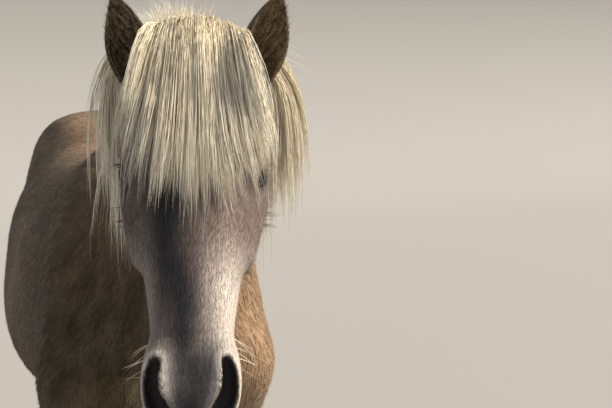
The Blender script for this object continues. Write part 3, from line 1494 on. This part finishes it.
def tailGuides(count):
    t = rng.uniform(0, 1, count) ** 0.8
    roots = rooted(columns(rng.normal(0, 13, count), 668 + 84 * t, 1258 - 14 * t), 4)
    ways = columns(
        rng.normal(0, 0.42, count),
        0.85 + 0.2 * rng.normal(0, 1, count),
        0.25 + rng.normal(0, 0.2, count),
    )
    lengths = tail["length"] * rng.uniform(0.66, 1.0, count)
    paths = marched(roots, ways, lengths, rng.uniform(3, 16, count), bend=46, steps=26)
    # the hank is full at its middle and gathers towards its end
    s = np.linspace(0, 1, paths.shape[1])
    own = rng.uniform(-1, 1, (count, 2))
    swell = np.sin(np.pi * np.clip(s * 0.92 + 0.04, 0, 1)) ** 0.8
    full = tail["fullness"] * swell * smoothStep(s, 0.03, 0.4)
    paths[:, :, 0] += own[:, :1] * full
    paths[:, :, 1] += own[:, 1:] * full * 0.5 + 14 * smoothStep(s, 0.1, 0.5)
    paths[:, :, 2] = np.maximum(paths[:, :, 2], tail["lowest"] + tail["ragged"] * own[:, :1])
    return paths


addHair("tail_hair", tailGuides(tail["guides"]), tail["copies"], tailStrand, maneMaterial, clear=2)

# Fetlock hair, the shaggy fringe under the jaw and down the throat, whiskers and lashes

fetlockHair = {"guides": 55, "copies": 10, "length": (34, 58), "legs": ((119, -455), (124, 692))}
jawFringe = {"guides": 240, "copies": 9, "length": (26, 66)}
whiskers = {"guides": 150, "length": (22, 56), "offNostril": 13}
lashes = {"guides": 30, "length": (13, 24)}


def fetlockGuides(count, side, leg):
    x, y = leg
    turn = rng.uniform(-1.25, 1.25, count)
    z = rng.uniform(120, 225, count)
    behind = y + 30 * np.cos(turn) - (225 - z) * 0.25 - 4
    roots = rooted(columns(side * (x + 34 * np.sin(turn)), behind, z), 3)
    ways = columns(side * np.sin(turn) * 0.5, np.cos(turn) * 0.6, -0.5)
    lengths = rng.uniform(*fetlockHair["length"], count) * (0.6 + 0.4 * (z > 150))
    return marched(roots, ways, lengths, rng.uniform(1, 6, count), bend=60, steps=7)


def jawGuides(count):
    t = rng.uniform(0, 1, count)
    side = rng.choice([-1, 1], count)
    roots = rootedOnHead(3, side * rng.uniform(20, 62, count), -60 - 330 * t, -190 + 70 * t)
    ways = headWays(side * 0.8 + rng.normal(0, 0.2, count), 0.1 + rng.normal(0, 0.2, count), -0.8)
    lengths = rng.uniform(*jawFringe["length"], count) * (1 - 0.45 * t)
    return marched(roots, ways, lengths, rng.uniform(1, 5, count), bend=50, steps=6)


def whiskerGuides(count):
    side = rng.choice([-1, 1], count)
    low = rng.uniform(0, 1, count)
    across = side * rng.uniform(12, 50, count)
    roots = rootedOnHead(2, across, -440 - 80 * rng.uniform(0, 1, count), -40 - 95 * low)
    local = toHead(roots)
    local[:, 0] = np.abs(local[:, 0])
    roots = roots[limb(nostril)["distance"](local.astype(np.float32)) > whiskers["offNostril"]]
    count, low = len(roots), low[: len(roots)]
    _, slope, _ = slopeOf(horse, roots, 1.0)
    ways = slope + headWays(0, -0.2, -0.4 - 0.4 * low) + rng.normal(0, 0.2, (count, 3))
    lengths = rng.uniform(*whiskers["length"], count)
    return marched(roots, ways, lengths, np.full(count, 1.0), bend=120, steps=7)


def lashGuides(count, side):
    turn = rng.uniform(0.25, 2.9, count)[:, None]
    out = eyeWay(side)
    front = unit([0.34 * side, -1, 0])
    front = unit(front - out * (front @ out))
    rise = unit(np.cross(out, front))
    rise = rise * np.sign(rise[2])
    spots = eyeCentre(side) + out * 17 + np.cos(turn) * front * 18 + np.sin(turn) * rise * 11.5
    ways = out * 0.8 + np.cos(turn) * front * 0.5 + rise * 0.25 + rng.normal(0, 0.12, (count, 3))
    ways = ways @ headTurnMatrix.T
    lengths = rng.uniform(*lashes["length"], count)
    return marched(fromHead(spots), ways, lengths, np.full(count, 0.5), bend=60, steps=7)


fetlockLook = {"Points": 4, "Width": 0.0009, "Root spread": 0.004, "Middle spread": 0.004}
jawLook = {"Points": 4, "Width": 0.0008, "Root spread": 0.005, "Middle spread": 0.005}
whiskerLook = {
    "Points": 5, "Width": 0.0007, "Wave": 0.002, "Root spread": 0.0005, "Middle spread": 0.001,
}
lashLook = {
    "Points": 5, "Width": 0.0005, "Wave": 0.001,
    "Root spread": 0.0004, "Middle spread": 0.0006, "Tip spread": 0.001,
}
guides = [
    fetlockGuides(fetlockHair["guides"], side, leg) for side in (1, -1) for leg in fetlockHair["legs"]
]
addHair("fetlock_hair", np.concatenate(guides), fetlockHair["copies"], fetlockLook, fringeMaterial, 0.5)
addHair("jaw_fringe", jawGuides(jawFringe["guides"]), jawFringe["copies"], jawLook, fringeMaterial, 0.5)
addHair("whiskers", whiskerGuides(whiskers["guides"]), 1, whiskerLook, maneMaterial, 0)
guides = [lashGuides(lashes["guides"], side) for side in (1, -1)]
addHair("lashes", np.concatenate(guides), 1, lashLook, fringeMaterial, 0)

# Coat tufts

onFaceOnly = {"Where": "faceThick", "Per square metre": 130000.0}
onBodyOnly = {"Where": "bodyThick", "Per square metre": 12000.0}
tuftLooks = {
    "face_tufts": {**onFaceOnly, "Width": 0.0008, "Lift": 0.2, "Seed": 3},
    "body_tufts": {**onBodyOnly, "Width": 0.0019, "Lift": 0.1, "Seed": 4},
    "body_tufts_between": {**onBodyOnly, "Width": 0.0016, "Lift": 0.14, "Seed": 5},
}


def bladeObject():
    # one thin three-sided spike, 1 long and 1 wide; every tuft is one of these
    verts = [(-0.5, 0, 0), (0.5, 0, 0), (0, 0.02, 0), (0, 0.03, 1)]
    faces = [(0, 1, 3), (1, 2, 3), (2, 0, 3), (2, 1, 0)]
    mesh = bpy.data.meshes.new("blade")
    mesh.from_pydata(verts, [], faces)
    setAttribute(mesh, "along", [v[2] for v in verts])
    return addObject("blade", mesh)


def addTufts(name, look):
    density = look["Per square metre"] * share
    values = {**look, "Per square metre": density, "Stray": 0.16, "Blade": blade, "Hair": tuftMaterial}
    obj = grownFrom(skin, tufts, name, values)
    mesh = obj.data
    count = len(mesh.vertices)
    roots = np.zeros(count * 3, np.float32)
    mesh.attributes["root"].data.foreach_get("vector", roots)
    within = np.tile(np.array([[0, 0], [1, 0], [0.5, 0], [0.5, 1]]), (count // 4, 1))
    addBakeMap(mesh, roots.reshape(-1, 3), within)
    for extra in ("lie", "size", "faceThick", "bodyThick", "skinNormal"):
        if extra in mesh.attributes:
            mesh.attributes.remove(mesh.attributes[extra])
    hair.append(obj)
    print(f"{name}: {triangleCount(mesh)} triangles")


tufts, blade = tuftTree(), bladeObject()
for name, look in tuftLooks.items():
    addTufts(name, look)
bpy.data.objects.remove(blade)

# Eyes and hooves


def loft(rings):
    # rings of points joined in order, with both ends closed to a middle point
    rings = np.array(rings, float)
    count, around = rings.shape[:2]
    verts = np.concatenate([rings.reshape(-1, 3), rings[0].mean(0)[None], rings[-1].mean(0)[None]])
    firstEnd, lastEnd, lastRing = count * around, count * around + 1, (count - 1) * around
    faces = []
    for r in range(count - 1):
        for k in range(around):
            a, b = r * around + k, r * around + (k + 1) % around
            faces += [(a, b, b + around), (a, b + around, a + around)]
    for k in range(around):
        n = (k + 1) % around
        faces += [(n, k, firstEnd), (lastRing + k, lastRing + n, lastEnd)]
    faces = np.array(faces)
    a, b, c = (verts[faces[:, k]] for k in range(3))
    return verts, faces if (np.cross(a, b) * c).sum() > 0 else faces[:, ::-1]


def eyeObject(name, side, rows=40, around=56):
    # a ball with a bulging cornea; gaze holds each point's place from the middle of the iris
    out = eyeWay(side)
    level = unit(np.cross([0, 0, 1], out))
    rise = np.cross(out, level)
    rings = []
    for r in range(1, rows):
        polar = math.pi * r / rows
        radius = eyeSize["radius"] - 0.5 + 1.6 * math.exp(-((polar / 0.62) ** 2))
        turns = np.arange(around)[:, None] / around * 2 * math.pi
        sideways = np.cos(turns) * level + np.sin(turns) * rise
        rings.append(radius * (math.cos(polar) * out + math.sin(polar) * sideways))
    verts, faces = loft(rings)
    obj = meshObject(name + "_ball", placed(fromHead(verts + eyeCentre(side))), faces)
    gaze = columns(verts @ level, verts @ rise, verts @ out) / eyeSize["radius"]
    setAttribute(obj.data, "gaze", gaze, "FLOAT_VECTOR")
    obj.data.materials.append(eyeGloss)
    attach(obj, "root")
    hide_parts(name)


hoofShape = {
    "forehoof": (119, -524, 61),  # across, along and the toe's reach from there
    "hindhoof": (124, 616, 57),
    "coronet": 66,  # height of the hairline at the middle
    "slope": math.radians(20),  # of the hairline, down to the heel
    "lean": 0.36,  # of the wall, backwards per unit up
    "taper": 0.38 / 120,  # share of the width lost per mm up
    "growthRings": 0.35,  # depth
}


def hoofObject(name, side, around=52):
    x, y, toe = hoofShape[name.split("_")[0]]
    lean, taper = hoofShape["lean"], hoofShape["taper"]
    s, c = math.sin(hoofShape["slope"]), math.cos(hoofShape["slope"])
    sole = [(0.0, 0.3), (0.0, 0.8), (0.0, 0.985), (0.012, 1.0)]  # height and width, as shares
    wall = [(k / 22, 1.0) for k in range(1, 22)]
    rings = []
    for t, shrink in sole + wall + [(0.985, 0.98), (1.0, 0.9), (1.0, 0.5)]:
        ring = []
        for a in np.arange(around) / around * 2 * math.pi:
            back = 0.9 if math.sin(a) > 0 else 1.1
            deep = math.sin(a) * back * toe
            top = (c * hoofShape["coronet"] + s * (deep - 24)) / (c - s * (lean - deep * taper))
            up = (top - 0.6) * t
            wide = toe * (1 - taper * up) * shrink - 0.4 + 0.6 * math.exp(-up / 9)
            heel = 1 - 0.06 * max(0, math.sin(a)) ** 6
            wide += hoofShape["growthRings"] * math.sin(up * 0.75) * (0.1 < t < 0.95)
            behind = math.sin(a) * back * wide * heel + up * lean
            ring.append((side * (x + math.cos(a) * wide), y + behind, up + 0.1))
        rings.append(ring)
    verts, faces = loft(rings)
    obj = meshObject(name + "_horn", placed(verts), faces)
    obj.data.materials.append(horn)
    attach(obj, "root")
    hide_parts(name)


eyeGloss, horn = eyeMaterial(), hornMaterial()
for side, word in ((1, "left"), (-1, "right")):
    eyeObject("eye_" + word, side)
    hoofObject("forehoof_" + word, side)
    hoofObject("hindhoof_" + word, side)
print("eyes and hooves made")

# What stands for what

flesh = [
    "torso", "neck", "head", "ear_left", "ear_right",
    "foreleg_left", "foreleg_right", "hindleg_left", "hindleg_right",
]
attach(skin, "root")
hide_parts(*flesh)
for obj in hair:
    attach(obj, "root")
    if obj.name == "tail_hair":
        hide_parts("tail")

# Floor, light and camera

stage = {"colour": "#a3a19c", "halfWidth": 12, "front": -9, "bendStart": 5, "bend": 2.5, "top": 9}
lights = {
    "key": {
        "place": (2.72, -1.7, 3.1), "aim": (0, -0.9, 1.2),
        "angle": 0.13, "strength": 6.8, "tint": "#fff5e9",
    },
    "fill": {
        "place": (-2.6, -4.4, 2.2), "aim": (0, -0.8, 1.1),
        "angle": 1.0, "strength": 0.4, "tint": "#dfe9fb",
    },
}
sky = {"colour": "#e9edf2", "strength": 0.42}
view = {"place": (-203, -2129, 1558), "forward": (0.3055, 0.9346, -0.1822), "lens": 48.53}


def makeStage():
    # a floor of matt pale studio paper that curves up into a backdrop, far behind
    start, bend, half = stage["bendStart"], stage["bend"], stage["halfWidth"]
    turns = np.linspace(0, math.pi / 2, 12)
    curve = [(start + bend * math.sin(a), bend - bend * math.cos(a)) for a in turns]
    rows = [(stage["front"], 0), *curve, (start + bend, stage["top"])]
    verts = [(x, y, z) for y, z in rows for x in (-half, half)]
    quads = [(2 * k, 2 * k + 1, 2 * k + 3, 2 * k + 2) for k in range(len(rows) - 1)]
    obj = meshObject("floor", verts, quads)
    paper, _, _ = newMaterial("pale studio floor", Base_Color=colour(stage["colour"]), Roughness=0.9)
    obj.data.materials.append(paper)


def facing(way):
    return Vector(way).to_track_quat("-Z", "Y").to_matrix().to_4x4()


makeStage()
for name, light in lights.items():
    data = bpy.data.lights.new(name, "SUN")
    data.angle, data.energy = light["angle"], light["strength"]
    data.color = colour(light["tint"])[:3]
    lamp = addObject(name, data)
    way = Vector(light["aim"]) - Vector(light["place"])
    lamp.matrix_world = Matrix.Translation(light["place"]) @ facing(way)
world = bpy.data.worlds.new("studio")
world.use_nodes = True
background = world.node_tree.nodes["Background"].inputs
background["Color"].default_value = colour(sky["colour"])
background["Strength"].default_value = sky["strength"]
bpy.context.scene.world = world
bpy.context.scene.view_settings.view_transform = "Standard"

camera = addObject("camera", bpy.data.cameras.new("camera"))
camera.data.lens, camera.data.sensor_width = view["lens"], 36
camera.data.clip_end = 60
camera.matrix_world = Matrix.Translation(placed(view["place"])) @ facing(view["forward"])
bpy.context.scene.camera = camera
print("stage, lights and camera set")
